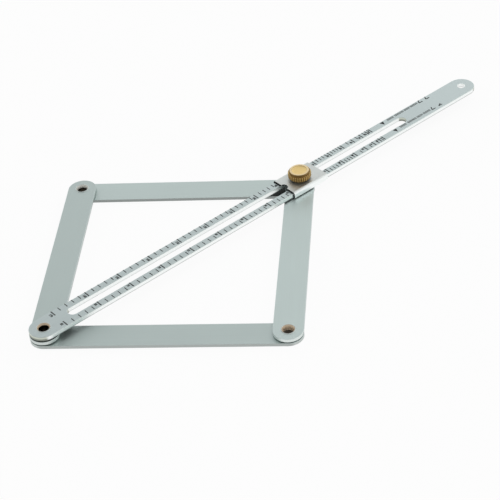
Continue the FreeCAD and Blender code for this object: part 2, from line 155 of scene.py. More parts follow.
class AngleFinderColours(bpy.types.PropertyGroup):
    """Base colours of the finishes"""

    arm_metal: FloatVectorProperty(name="Arms", description="Satin metal of the arms",
                                   default=(0.75, 0.86, 0.84), subtype="COLOR", min=0, max=1)
    bar_metal: FloatVectorProperty(name="Bar", description="Satin metal of the scale bar",
                                   default=(0.66, 0.75, 0.75), subtype="COLOR", min=0, max=1)
    milled_edge: FloatVectorProperty(name="Milled edge",
                                     description="Bright milled edges of the scale bar",
                                     default=(0.97, 1.0, 0.99), subtype="COLOR", min=0, max=1)
    # Painted shade: the bar's round ends are coloured darker than its straight sides
    rounded_edge: FloatVectorProperty(name="Rounded edge",
                                      description="Dull rounded ends of the scale bar",
                                      default=(0.57, 0.61, 0.53), subtype="COLOR", min=0, max=1)
    edge_tint: FloatVectorProperty(name="Edge tint", description="Tint of the arms' cut edges",
                                   default=(0.93, 1.0, 0.975), subtype="COLOR", min=0, max=1)
    # Painted shade: a near-black colour on the bar's underside, for the shade under the bar
    underside: FloatVectorProperty(name="Underside", description="Dull underside of the bar",
                                   default=(0.07, 0.075, 0.075), subtype="COLOR", min=0, max=1)
    saddle_metal: FloatVectorProperty(name="Saddle", description="Rolled sheet of the saddle",
                                      default=(0.84, 0.88, 0.86), subtype="COLOR", min=0, max=1)
    # Painted shade: a near-black colour on the saddle sheet's cut ends
    sheared_edge: FloatVectorProperty(name="Sheared edge",
                                      description="Dark sheared ends of the saddle's sheet",
                                      default=(0.02, 0.022, 0.022), subtype="COLOR", min=0, max=1)
    brass: FloatVectorProperty(name="Brass", description="Turned brass in the knob's dish",
                               default=(1.0, 0.76, 0.34), subtype="COLOR", min=0, max=1)
    # Painted highlight: a paler brass on the flat ring of the knob's cap
    pale_brass: FloatVectorProperty(name="Pale brass", description="Polished rim of the knob's cap",
                                    default=(1.0, 0.82, 0.50), subtype="COLOR", min=0, max=1)
    # Painted shade: a darker brass for the knob's knurl and upright faces
    worn_brass: FloatVectorProperty(name="Worn brass", description="Darkened brass of the knurl",
                                    default=(0.46, 0.29, 0.10), subtype="COLOR", min=0, max=1)
    rivet_metal: FloatVectorProperty(name="Rivets", description="Washed rims of the rivets",
                                     default=(0.62, 0.68, 0.67), subtype="COLOR", min=0, max=1)
    # A tan colour for the rivets' mouths, inside their grey rims
    worn_mouth: FloatVectorProperty(name="Worn mouth", description="Tan metal of their mouths",
                                    default=(0.62, 0.50, 0.36), subtype="COLOR", min=0, max=1)
    # Painted shade: a near-black colour deep in the rivets' bores
    bore_shade: FloatVectorProperty(name="Bore shade", description="Unwashed bores of the rivets",
                                    default=(0.035, 0.03, 0.022), subtype="COLOR", min=0, max=1)
    plating: FloatVectorProperty(name="Plating", description="Zinc of the bolt and washers",
                                 default=(0.50, 0.51, 0.52), subtype="COLOR", min=0, max=1)
    yellow_plating: FloatVectorProperty(name="Yellow plating",
                                        description="Passivated zinc of the knob's washer",
                                        default=(0.60, 0.48, 0.22), subtype="COLOR", min=0, max=1)
    light_nylon: FloatVectorProperty(name="Light nylon", description="Spacer rings",
                                     default=(0.70, 0.70, 0.66), subtype="COLOR", min=0, max=1)
    dark_nylon: FloatVectorProperty(name="Dark nylon", description="Bush in the slot",
                                    default=(0.03, 0.03, 0.033), subtype="COLOR", min=0, max=1)
    ink: FloatVectorProperty(name="Ink", description="Etched and filled marks",
                             default=(0.012, 0.014, 0.014), subtype="COLOR", min=0, max=1)


class AngleFinderStage(bpy.types.PropertyGroup):
    """Camera, lights and floor"""

    azimuth: FloatProperty(name="Azimuth", description="Camera's place round the object",
                           default=math.radians(-37.268), subtype="ANGLE")
    elevation: FloatProperty(name="Elevation", description="Camera's height over the horizon",
                             default=math.radians(37.818), subtype="ANGLE")
    roll: FloatProperty(name="Roll", description="Camera's turn about its own axis",
                        default=math.radians(-5.776), subtype="ANGLE")
    distance: FloatProperty(name="Distance", description="From the camera to its target",
                            default=1.393261, unit="LENGTH", precision=5)
    target: FloatVectorProperty(name="Target", description="Point that the camera looks at",
                                default=(0.193463, -0.033072, 0.0018), subtype="TRANSLATION",
                                precision=5)
    lens: FloatProperty(name="Lens", description="Focal length on a 36 mm frame",
                        default=115.943, subtype="DISTANCE_CAMERA", precision=3)
    floor_colour: FloatVectorProperty(name="Floor", description="Pale floor",
                                      default=(0.97, 0.97, 0.97), subtype="COLOR", min=0, max=1)
    floor_size: FloatProperty(name="Floor size", description="Side of the floor",
                              default=12.0, unit="LENGTH")
    floor_glow: FloatProperty(name="Floor glow",
                              description="How far the floor is plain white where it is seen",
                              default=0.93, min=0, max=1, subtype="FACTOR")
    mirrored_glow: FloatProperty(name="Mirrored glow",
                                 description="How far the floor is plain white in reflections",
                                 default=0.9, min=0, max=1, subtype="FACTOR")
    softbox_strength: FloatProperty(name="Softbox", description="Light of the overhead softbox",
                                    default=0.4, min=0)
    softbox_spread: FloatProperty(name="Softbox spread", description="Angle the softbox fills",
                                  default=math.radians(60), subtype="ANGLE")
    softbox_azimuth: FloatProperty(name="Softbox azimuth", description="Side it shines from",
                                   default=math.radians(75), subtype="ANGLE")
    softbox_elevation: FloatProperty(name="Softbox elevation", description="Its height",
                                     default=math.radians(55), subtype="ANGLE")


def sizes():
    return bpy.context.scene.angle_finder_sizes


def colours():
    return bpy.context.scene.angle_finder_colours


def stage_settings():
    return bpy.context.scene.angle_finder_stage


# Node helpers


def new_material(name):
    """A material whose output shows one principled shader."""
    material = bpy.data.materials.new(name)
    material.use_nodes = True
    tree = material.node_tree
    tree.nodes.clear()
    output = tree.nodes.new("ShaderNodeOutputMaterial")
    shader = tree.nodes.new("ShaderNodeBsdfPrincipled")
    tree.links.new(shader.outputs["BSDF"], output.inputs["Surface"])
    return material, tree, shader


def object_place(tree, scale, turn=0.0, centre=(0, 0, 0)):
    """Object coordinates about a centre, turned about Z and stretched."""
    source = tree.nodes.new("ShaderNodeTexCoord")
    mapping = tree.nodes.new("ShaderNodeMapping")
    mapping.vector_type = "TEXTURE"
    mapping.inputs["Location"].default_value = centre
    mapping.inputs["Rotation"].default_value = (0, 0, turn)
    mapping.inputs["Scale"].default_value = tuple(1 / s for s in scale)
    tree.links.new(source.outputs["Object"], mapping.inputs["Vector"])
    return mapping.outputs["Vector"]


def noise(tree, place, detail, roughness=0.5):
    texture = tree.nodes.new("ShaderNodeTexNoise")
    texture.inputs["Scale"].default_value = 1
    texture.inputs["Detail"].default_value = detail
    texture.inputs["Roughness"].default_value = roughness
    tree.links.new(place, texture.inputs["Vector"])
    return texture.outputs["Fac"]


def speckle(tree, waves, detail, roughness=0.5):
    """Noise with as many waves to the metre in every direction."""
    return noise(tree, object_place(tree, (waves, waves, waves)), detail, roughness)


def span(tree, value, low, high, source_low=0.3, source_high=0.7):
    """Stretches a value, a noise's by default, to the range from low to high."""
    node = tree.nodes.new("ShaderNodeMapRange")
    node.inputs["From Min"].default_value = source_low
    node.inputs["From Max"].default_value = source_high
    node.inputs["To Min"].default_value = low
    node.inputs["To Max"].default_value = high
    tree.links.new(value, node.inputs["Value"])
    return node.outputs["Result"]


def past(tree, value, low, high):
    """From 0 where a value is up to low to 1 where it is high or more."""
    return span(tree, value, 0, 1, low, high)


def under(tree, value, low, high):
    """From 1 where a value is up to low to 0 where it is high or more."""
    return span(tree, value, 1, 0, low, high)


def maths(tree, operation, *terms):
    """One Math node; each term is a socket or a number."""
    node = tree.nodes.new("ShaderNodeMath")
    node.operation = operation
    for socket, term in zip(node.inputs, terms):
        if isinstance(term, bpy.types.NodeSocket):
            tree.links.new(term, socket)
        else:
            socket.default_value = term
    return node.outputs["Value"]


def mix_colour(tree, share, first, second):
    """Mixes two colours by a share; each colour may be a socket."""
    node = tree.nodes.new("ShaderNodeMix")
    node.data_type = "RGBA"
    factor, a, b = node.inputs[0], node.inputs[6], node.inputs[7]
    tree.links.new(share, factor)
    for socket, value in ((a, first), (b, second)):
        if isinstance(value, bpy.types.NodeSocket):
            tree.links.new(value, socket)
        else:
            socket.default_value = (*value, 1)
    return node.outputs[2]


def bump(tree, shader, height, strength, distance=RELIEF):
    node = tree.nodes.new("ShaderNodeBump")
    node.inputs["Strength"].default_value = strength
    node.inputs["Distance"].default_value = distance
    tree.links.new(height, node.inputs["Height"])
    tree.links.new(node.outputs["Normal"], shader.inputs["Normal"])


def facing(tree, direction):
    """How far the surface's own normal points along a direction, from -1 to 1."""
    source = tree.nodes.new("ShaderNodeTexCoord")
    dot = tree.nodes.new("ShaderNodeVectorMath")
    dot.operation = "DOT_PRODUCT"
    dot.inputs[1].default_value = direction
    tree.links.new(source.outputs["Normal"], dot.inputs[0])
    return dot.outputs["Value"]


def radial_place(tree, centre):
    """Distance from a vertical axis through centre, in metres."""
    flattened = (1, 1, 0.0001)
    place = object_place(tree, flattened, centre=centre)
    length = tree.nodes.new("ShaderNodeVectorMath")
    length.operation = "LENGTH"
    tree.links.new(place, length.inputs[0])
    return length.outputs["Value"]


def place_parts(tree, centre=(0, 0, 0)):
    """X, Y and Z from a centre in metres, as the sockets of one node."""
    parts = tree.nodes.new("ShaderNodeSeparateXYZ")
    tree.links.new(object_place(tree, (1, 1, 1), centre=centre), parts.inputs["Vector"])
    return parts.outputs


def rub_mark(tree, centre, reach):
    """From 1 within a soft-edged patch about centre, reach to each side, to 0 outside it."""
    soft = 2.5 * MM
    parts = place_parts(tree, centre)
    shares = [under(tree, maths(tree, "ABSOLUTE", parts[axis]), half - soft, half + soft)
              for axis, half in zip("XY", reach)]
    return maths(tree, "MULTIPLY", *shares)


def rings(tree, centre, waves):
    """Turning marks: noise that changes only with the distance from a vertical axis."""
    texture = tree.nodes.new("ShaderNodeTexNoise")
    texture.noise_dimensions = "1D"
    texture.inputs["Scale"].default_value = waves
    texture.inputs["Detail"].default_value = 2
    tree.links.new(radial_place(tree, centre), texture.inputs["W"])
    return texture.outputs["Fac"]


def shaded(colour, share):
    return tuple(c * share for c in colour)


# Materials


def grained(tree, face, turn, streak, clouds, clouding):
    """Grain along a direction, and a face's colour streaked by it and clouded."""
    grain = noise(tree, object_place(tree, GRAIN, turn=turn), detail=4, roughness=0.6)
    colour = mix_colour(tree, span(tree, grain, 0, 1), shaded(face, 1 - streak), face)
    colour = mix_colour(tree, span(tree, clouds, 0, clouding), colour, shaded(face, 0.8))
    return grain, colour


def dulled_edges(tree, side, end, shade_foot):
    """A bar's side and end colours with painted shade at the foot, less of it in the bar's slot."""
    soft = 0.4 * MM
    slot_side, outer_side = 8 * MM, 9 * MM
    parts = place_parts(tree)
    low_side, low_end = (under(tree, parts["Z"], foot - soft, foot + soft)
                         for foot in shade_foot)
    off_middle = maths(tree, "ABSOLUTE", parts["Y"])
    depth = span(tree, off_middle, 0.5, 1, slot_side, outer_side)
    low_side = maths(tree, "MULTIPLY", low_side, depth)
    return (mix_colour(tree, low_side, side, shaded(side, 0.5)),
            mix_colour(tree, low_end, end, shaded(end, 0.42)))


def rolled_metal(name, face, side, end, turn=0.0, roughness=(0.30, 0.42), hole=None,
                 underside=None, shade_foot=None, shadow_patch=None):
    """Satin rolled bar: grain along its faces, and a finish of their own on its cut edges.

    side is the colour of the straight edges and end that of the round ones. hole is the
    axis and radius of a drilled hole whose wall has the sides' finish, underside the
    near-black colour painted on faces below for shade, shade_foot the heights up to which the
    straight edges and the round ends are painted darker for shade, and shadow_patch the middle
    and half size of a patch painted dark for a shadow.
    """
    material, tree, shader = new_material(name)
    grain, body = grained(tree, face, turn, streak=0.06, clouds=speckle(tree, 30, detail=2),
                          clouding=0.06)
    across = (-math.sin(turn), math.cos(turn), 0)
    straight = past(tree, maths(tree, "ABSOLUTE", facing(tree, across)), *STRAIGHT)
    if hole:
        axis, radius = hole
        margin, soft = 0.5 * MM, 0.1 * MM
        near = under(tree, radial_place(tree, axis), radius + margin - soft,
                     radius + margin + soft)
        straight = maths(tree, "MAXIMUM", straight, near)
    upwards = facing(tree, (0, 0, 1))
    flat = past(tree, maths(tree, "ABSOLUTE", upwards), *FLAT)
    rough = span(tree, grain, *roughness)
    # Painted shade: faces that point down take the near-black underside colour
    if underside:
        below = under(tree, upwards, -FLAT[1], -FLAT[0])
        body = mix_colour(tree, below, body, underside)
        rough = maths(tree, "ADD", rough, maths(tree, "MULTIPLY", below, 0.2))
    # Painted shade: the sides and ends darken towards their foot
    if shade_foot:
        side, end = dulled_edges(tree, side, end, shade_foot)
    edge = mix_colour(tree, straight, end, side)
    # Painted shadow: a near-black patch on the face where the bar passes over the arm
    if shadow_patch:
        body = mix_colour(tree, rub_mark(tree, *shadow_patch), body, shaded(face, 0.05))
    tree.links.new(mix_colour(tree, flat, edge, body), shader.inputs["Base Color"])
    tree.links.new(rough, shader.inputs["Roughness"])
    shader.inputs["Metallic"].default_value = 1
    bump(tree, shader, grain, strength=0.12)
    return material


def bent_sheet(name, face, lip_highlight, sheared):
    """Satin sheet grained across the bar, lips painted as a highlight, ends painted dark as shade."""
    material, tree, shader = new_material(name)
    grain, body = grained(tree, face, math.pi / 2, streak=0.07,
                          clouds=speckle(tree, 60, detail=3), clouding=0.5)
    sideways = maths(tree, "ABSOLUTE", facing(tree, (0, 1, 0)))
    lengthways = maths(tree, "ABSOLUTE", facing(tree, (1, 0, 0)))
    # Painted highlight: faces that point sideways, the lips, take the bright edge colour
    body = mix_colour(tree, past(tree, sideways, 0.55, 0.95), body, lip_highlight)
    # Painted shade: faces that point along the bar, the cut ends, are near black
    cut = past(tree, lengthways, 0.25, 0.40)
    tree.links.new(mix_colour(tree, cut, body, sheared), shader.inputs["Base Color"])
    tree.links.new(span(tree, grain, 0.40, 0.50), shader.inputs["Roughness"])
    shader.inputs["Metallic"].default_value = 1
    bump(tree, shader, grain, strength=0.12)
    return material


def turned_brass(name, centre, dish, cap, knurl, rim):
    """Lathe-turned brass: a warm dish, a paler ring painted as a highlight, and painted shade:
    upright faces darker than flat ones, grooves darker still and the foot nearly black.

    dish and knurl are each a colour and the radius at which it ends or starts, and rim is
    the radius of the knurl's teeth.
    """
    material, tree, shader = new_material(name)
    marks = rings(tree, centre, 3500)
    distance = radial_place(tree, centre)
    dish_colour, dish_edge = dish
    knurl_colour, knurl_start = knurl
    soft = 0.3 * MM
    past_dish = past(tree, distance, dish_edge - soft, dish_edge + soft)
    past_cap = past(tree, distance, knurl_start - soft, knurl_start)
    groove_floor, tooth_top = rim - 0.45 * MM, rim - 0.05 * MM
    # Painted shade: the knurl's grooves are darker still
    groove_shade_share = under(tree, distance, groove_floor, tooth_top)
    # Painted highlight: the flat ring past the dish takes the paler brass
    turned_faces = mix_colour(tree, past_dish, dish_colour, cap)
    turned_faces = mix_colour(tree, past_cap, turned_faces, shaded(dish_colour, 0.8))
    teeth = mix_colour(tree, groove_shade_share, knurl_colour, shaded(knurl_colour, 0.3))
    shaded_walls = mix_colour(tree, past_cap, shaded(knurl_colour, 0.45), teeth)
    # Painted shade: upright faces take the darker brass, flat faces the lighter
    upright = under(tree, facing(tree, (0, 0, 1)), 0.72, 0.92)
    colour = mix_colour(tree, upright, turned_faces, shaded_walls)
    # Painted shade: under the rim the foot turns nearly black
    rim_foot = KNOB_LOW.z + 1.0 * MM
    foot_shade_share = under(tree, place_parts(tree)["Z"], rim_foot, rim_foot + soft)
    colour = mix_colour(tree, maths(tree, "MULTIPLY", foot_shade_share, 0.75), colour,
                        shaded(knurl_colour, 0.1))
    blotches = span(tree, speckle(tree, 450, detail=3), 0, 0.14)
    colour = mix_colour(tree, blotches, colour, shaded(knurl_colour, 0.6))
    tree.links.new(colour, shader.inputs["Base Color"])
    tree.links.new(span(tree, marks, 0.32, 0.44), shader.inputs["Roughness"])
    shader.inputs["Metallic"].default_value = 1
    bump(tree, shader, marks, strength=0.15)
    return material


def washed_metal(name, centre, rim_colour, mouth, bore):
    """Washed rivet metal with fine rings: a grey rim, a tan mouth and a bore painted near black for shade.

    mouth is a colour and the radius at which it ends, and bore the painted shade's colour, the
    bore's radius and the height under which the shade starts.
    """
    material, tree, shader = new_material(name)
    marks = rings(tree, centre, 1800)
    distance = radial_place(tree, centre)
    mouth_colour, mouth_edge = mouth
    bore_colour, bore_radius, bore_top = bore
    soft = 0.3 * MM
    in_mouth = under(tree, distance, mouth_edge - soft / 2, mouth_edge)
    # Painted shade: deep in the bore the colour turns near black
    bore_shade_share = maths(tree, "MULTIPLY",
                    under(tree, distance, bore_radius + soft / 3, bore_radius + soft),
                    under(tree, place_parts(tree)["Z"], bore_top - soft, bore_top + soft))
    blotches = span(tree, speckle(tree, 450, detail=3), 0, 0.25)
    wash = mix_colour(tree, in_mouth, rim_colour, mouth_colour)
    wash = mix_colour(tree, blotches, wash, shaded(mouth_colour, 0.6))
    tree.links.new(mix_colour(tree, bore_shade_share, wash, bore_colour), shader.inputs["Base Color"])
    mouth_band = maths(tree, "SUBTRACT", in_mouth, bore_shade_share)
    rough = maths(tree, "ADD", span(tree, marks, 0.18, 0.30), maths(tree, "MULTIPLY", mouth_band, 0.25))
    tree.links.new(rough, shader.inputs["Roughness"])
    tree.links.new(span(tree, mouth_band, 1, 0.4, 0, 1), shader.inputs["Metallic"])
    bump(tree, shader, marks, strength=0.1)
    return material


def plated_metal(name, colour):
    """Zinc plating: faintly crystalline and half dull."""
    material, tree, shader = new_material(name)
    flakes = speckle(tree, 900, detail=4, roughness=0.65)
    tree.links.new(mix_colour(tree, span(tree, flakes, 0, 1), colour, shaded(colour, 1.12)),
                   shader.inputs["Base Color"])
    tree.links.new(span(tree, flakes, 0.3, 0.48), shader.inputs["Roughness"])
    shader.inputs["Metallic"].default_value = 1
    bump(tree, shader, flakes, strength=0.08, distance=FINE_RELIEF)
    return material


def moulded_nylon(name, colour):
    """Matte moulded plastic with a fine pebble."""
    material, tree, shader = new_material(name)
    pebble = speckle(tree, 2200, detail=2)
    tree.links.new(mix_colour(tree, span(tree, pebble, 0, 1), colour, shaded(colour, 1.2)),
                   shader.inputs["Base Color"])
    tree.links.new(span(tree, pebble, 0.45, 0.6), shader.inputs["Roughness"])
    bump(tree, shader, pebble, strength=0.1, distance=FINE_RELIEF)
    return material


def printed_ink(name, colour):
    """Dark etched marks, filled unevenly."""
    material, tree, shader = new_material(name)
    wear = speckle(tree, 1500, detail=3)
    tree.links.new(mix_colour(tree, past(tree, wear, 0.4, 0.75), colour, shaded(colour, 2.6)),
                   shader.inputs["Base Color"])
    tree.links.new(span(tree, wear, 0.5, 0.7), shader.inputs["Roughness"])
    return material


# Pieces


def dress(node, material):
    """Gives a CAD node its finish."""
    piece = frame["nodes"][node]
    piece.data.materials.clear()
    piece.data.materials.append(material)


def finish_piece(name, shape, material, body, replaced=(), sharp=math.radians(38)):
    """Makes a shown piece from a bmesh, sharp past an angle, on its body; hides what it replaces."""
    data = bpy.data.meshes.new(name)
    shape.to_mesh(data)
    shape.free()
    data.shade_smooth()
    data.set_sharp_from_angle(angle=sharp)
    data.materials.append(material)
    piece = bpy.data.objects.new(name, data)
    bpy.context.scene.collection.objects.link(piece)
    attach(piece, body)
    if replaced:
        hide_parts(*replaced)


def arc(centre, radii, first, last, steps):
    """Points (radius, height) along part of an ellipse, angles in degrees."""
    points = []
    for step in range(steps + 1):
        angle = math.radians(first + (last - first) * step / steps)
        points.append((centre[0] + radii[0] * math.cos(angle),
                       centre[1] + radii[1] * math.sin(angle)))
    return points


def turned(profile, axis, steps):
    """Spins a closed half profile of (radius, height) round a vertical axis."""
    shape = bmesh.new()
    rims = []
    for radius, height in profile:
        rim = [shape.verts.new((axis.x + radius * math.cos(math.tau * step / steps),
                                axis.y + radius * math.sin(math.tau * step / steps), height))
               for step in range(steps if radius else 1)]
        rims.append(rim * (steps // len(rim)))
    for rim, other in zip(rims, rims[1:] + rims[:1]):
        for step in range(steps):
            # Corners on the axis are one vertex
            corners = dict.fromkeys((rim[step - 1], rim[step], other[step], other[step - 1]))
            if len(corners) > 2:
                shape.faces.new(list(corners))
    bmesh.ops.recalc_face_normals(shape, faces=shape.faces)
    return shape


def reading_place(angle):
    """Where the saddle's reading edge stands on the bar at an opening angle in degrees."""
    return 2 * ARM_PITCH * math.cos(math.radians(angle) / 2) - READING_LEAD


def lined_angles():
    """The angles in degrees that have a line, with fewer of them where they would crowd."""
    size = sizes()
    for angle in range(size.first_degree, size.last_degree + 1):
        room = reading_place(angle) - reading_place(angle + size.degree_step)
        step = size.degree_step if room > size.least_spacing else size.crowded_step
        if angle % step == 0:
            yield angle


def add_mark(shape, start, end, width):
    """One inked line on the bar's face from start to end, both (x, y)."""
    along = Vector((end[0] - start[0], end[1] - start[1], 0))
    middle = Vector(((start[0] + end[0]) / 2, (start[1] + end[1]) / 2, BAR_HIGH.z))
    turn = Matrix.Rotation(math.atan2(along.y, along.x), 4, "Z")
    extent = Matrix.Diagonal((along.length, width, 2 * sizes().ink_rise, 1))
    bmesh.ops.create_cube(shape, size=1, matrix=Matrix.Translation(middle) @ turn @ extent)


def add_number(shape, number, x, y):
    """A plain number laid on the bar, reading across it with its top along +X."""
    curve = bpy.data.curves.new("number", "FONT")
    curve.body = str(number)
    curve.align_x = "CENTER"
    curve.align_y = "CENTER"
    curve.resolution_u = 3
    curve.size = sizes().number_height / CAPITAL_SHARE
    curve.offset = sizes().number_weight
    curve.extrude = sizes().ink_rise
    text = bpy.data.objects.new("number", curve)
    bpy.context.scene.collection.objects.link(text)
    bpy.context.view_layer.update()
    flat = bpy.data.meshes.new_from_object(
        text.evaluated_get(bpy.context.evaluated_depsgraph_get()))
    flat.transform(Matrix.Translation((x, y, BAR_HIGH.z))
                   @ Matrix.Rotation(-math.pi / 2, 4, "Z")
                   @ Matrix.Diagonal((NUMBER_SQUEEZE, 1, 1, 1)))
    shape.from_mesh(flat)
    bpy.data.objects.remove(text)
    bpy.data.curves.remove(curve)
    bpy.data.meshes.remove(flat)


class ANGLEFINDER_OT_arms(bpy.types.Operator):
    """Gives the four arms their satin finish, grained along each arm, with painted light and shade"""

    bl_idname = "anglefinder.arms"
    bl_label = "Finish the arms"

    roughness = (0.42, 0.55)
    # Middle and half size of the shadow painted on the left outer arm under the bar
    rub_place = Vector((-22.0 * MM, 8.0 * MM, 0))
    rub_reach = (16.0 * MM, 8.0 * MM)

    def execute(self, context):
        metal, tint = colours().arm_metal, colours().edge_tint
        shadow_patch = {"left_outer_arm": (CLAMP_AXIS + self.rub_place, self.rub_reach)}
        for arm, (angle, face, side, end) in ARMS.items():
            dress(arm, rolled_metal("satin_" + arm, shaded(metal, face), shaded(tint, side),
                                    shaded(tint, end), math.radians(angle),
                                    roughness=self.roughness, shadow_patch=shadow_patch.get(arm)))
        return {"FINISHED"}


class ANGLEFINDER_OT_bar(bpy.types.Operator):
    """Gives the bar a satin face, bright milled edges and painted shade on ends, foot, underside"""

    bl_idname = "anglefinder.bar"
    bl_label = "Finish the scale bar"

    # Height above the bar's foot up to which its sides are painted with shade
    dull_height = 0.9 * MM

    def execute(self, context):
        shade_foot = (BAR_LOW.z + self.dull_height, (BAR_LOW.z + BAR_HIGH.z) / 2)
        dress("scale_bar", rolled_metal("satin_scale_bar", tuple(colours().bar_metal),
                                        tuple(colours().milled_edge),
                                        tuple(colours().rounded_edge),
                                        hole=(HANGING_HOLE, HANGING_HOLE_RADIUS),
                                        underside=tuple(colours().underside),
                                        shade_foot=shade_foot))
        return {"FINISHED"}


class ANGLEFINDER_OT_graduations(bpy.types.Operator):
    """Prints the two rows of lines that the reading edge points at"""

    bl_idname = "anglefinder.graduations"
    bl_label = "Print the graduations"

    fading = 2.0

    def execute(self, context):
        shape = bmesh.new()
        size = sizes()
        for angle in lined_angles():
            x = reading_place(angle)
            numbered = angle % DECADE == 0
            width = size.decade_width if numbered else size.tick_width
            length = size.decade_length if numbered else size.tick_length
            for row in ROWS.values():
                start, end = row["tick_top"], row["tick_top"] - length
                add_mark(shape, (x, row["side"] * start), (x, row["side"] * end), width)
        ink = printed_ink("line_ink", shaded(colours().ink, self.fading))
        finish_piece("scale_lines", shape, ink, "scale_bar")
        return {"FINISHED"}


class ANGLEFINDER_OT_numbers(bpy.types.Operator):
    """Prints the opening angle on the left row and its half on the right row"""

    bl_idname = "anglefinder.numbers"
    bl_label = "Print the numbers"

    def execute(self, context):
        shape = bmesh.new()
        for angle in range(sizes().first_degree, sizes().last_degree + 1, DECADE):
            x = reading_place(angle) - sizes().number_lead
            for row in ROWS.values():
                add_number(shape, angle // row["divide"], x, row["side"] * row["number_row"])
        finish_piece("scale_numbers", shape, printed_ink("number_ink", tuple(colours().ink)),
                     "scale_bar")
        return {"FINISHED"}


class ANGLEFINDER_OT_symbols(bpy.types.Operator):
    """Marks what each row reads: an arrowhead, rows of strokes and a whole or halved angle"""

    bl_idname = "anglefinder.symbols"
    bl_label = "Print the row symbols"

    arrow_x = 396.3 * MM
    arrow_radius = 2.9 * MM
    arrow_stretch = (0.9, 1.15, 1, 1)
    strokes_start = 403.0 * MM
    stroke_pitch = 1.05 * MM
    stroke_width = 0.55 * MM
    stroke_half = 1.35 * MM
    groups = (8, 0, 11, 7, 9)
    group_gap = 0.8
    angle_x = (444.0 * MM, 453.0 * MM)
    opening = 60
    corner_drop = 1.5 * MM
    leg_length = 4.4 * MM
    leg_width = 1.05 * MM

    def execute(self, context):
        shape = bmesh.new()
        for row in ROWS.values():
            legend_y = row["side"] * row["legend_row"]
            self.add_arrowhead(shape, row["side"] * row["arrow_row"])
            self.add_strokes(shape, legend_y)
            for x, opening in zip(self.angle_x, (self.opening, self.opening / row["divide"])):
                self.add_angle(shape, x, legend_y, opening)
        finish_piece("row_symbols", shape, printed_ink("symbol_ink", tuple(colours().ink)),
                     "scale_bar")
        return {"FINISHED"}

    def add_arrowhead(self, shape, y):
        """A filled triangle that points at the scale."""
        place = (Matrix.Translation((self.arrow_x, y, BAR_HIGH.z))
                 @ Matrix.Rotation(math.pi, 4, "Z") @ Matrix.Diagonal(self.arrow_stretch))
        bmesh.ops.create_cone(shape, cap_ends=True, segments=3, radius1=self.arrow_radius,
                              radius2=self.arrow_radius, depth=2 * sizes().ink_rise,
                              matrix=place)

    def add_strokes(self, shape, y):
        """Groups of short upright strokes."""
        x = self.strokes_start
        for group in self.groups:
            for _ in range(group):
                add_mark(shape, (x, y - self.stroke_half), (x, y + self.stroke_half),
                         self.stroke_width)
                x += self.stroke_pitch
            x += self.group_gap * self.stroke_pitch

    def add_angle(self, shape, x, y, opening):
        """Two legs that meet at an opening in degrees."""
        corner = Vector((x, y - self.corner_drop))
        for turn in (0, opening):
            leg = Matrix.Rotation(math.radians(turn), 2) @ Vector((self.leg_length, 0))
            add_mark(shape, corner, corner + leg, self.leg_width)


class ANGLEFINDER_OT_rivets(bpy.types.Operator):
    """Makes the hollow rivets with their flared mouths and spread tails"""

    bl_idname = "anglefinder.rivets"
    bl_label = "Make the rivets"

    wall = 1.1 * MM
    head = 0.5 * MM
    crest = 0.2 * MM
    tail = 1.0 * MM
    columns = 72
    round_steps = 6
    flare_steps = 10

    def execute(self, context):
        washed, mouth_band = tuple(colours().rivet_metal), tuple(colours().worn_mouth)
        for node, (body, mount, shade_start_depth, tan) in RIVETS.items():
            low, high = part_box(node)
            axis = Vector(((low.x + high.x) / 2, (low.y + high.y) / 2, 0))
            rim = (high.x - low.x) / 2
            mouth_edge = rim - self.head - self.crest
            bore = MOUNTS[mount]["dims"]["r_mm"] * MM
            throat = MOUNTS[mount]["dims"]["length_mm"] * MM
            shape = turned(self.outline(low.z, high.z, rim, mouth_edge, bore, throat), axis,
                           self.columns)
            mouth = [(1 - tan) * a + tan * b for a, b in zip(washed, mouth_band)]
            metal = washed_metal("washed_" + node, axis, washed, (mouth, mouth_edge),
                                 (tuple(colours().bore_shade), bore, throat - shade_start_depth))
            finish_piece(node + "_rolled", shape, metal, body, [node])
        return {"FINISHED"}

    def outline(self, foot, top, rim, mouth_edge, bore, throat):
        """Half profile, from the seat under the rim round by the mouth and the tail."""
        seat = top - self.head
        flare = mouth_edge - bore
        depth = top - throat
        curve = (flare ** 2 + depth ** 2) / (2 * flare)
        sweep = math.degrees(math.asin(depth / curve))
        points = [(bore + self.wall, seat)]
        points += arc((rim - self.head, seat), (self.head, self.head), 0, 90, self.round_steps)
        points += arc((bore + curve, throat), (curve, curve), 180 - sweep, 180, self.flare_steps)
        points += [(bore, foot)]
        points += arc((rim - self.tail, foot + self.tail), (self.tail, self.tail), 270, 360,
                      self.round_steps)
        points += [(bore + self.wall, foot + self.tail)]
        return points


class ANGLEFINDER_OT_saddle(bpy.types.Operator):
    """Gives the saddle its satin sheet, with painted highlight on the lips and shade on the ends"""

    bl_idname = "anglefinder.saddle"
    bl_label = "Finish the saddle"

    def execute(self, context):
        # The milled edge colour is painted on the saddle's lips as a highlight
        dress("slider_saddle", bent_sheet("saddle_sheet", tuple(colours().saddle_metal),
                                          tuple(colours().milled_edge),
                                          tuple(colours().sheared_edge)))
        return {"FINISHED"}


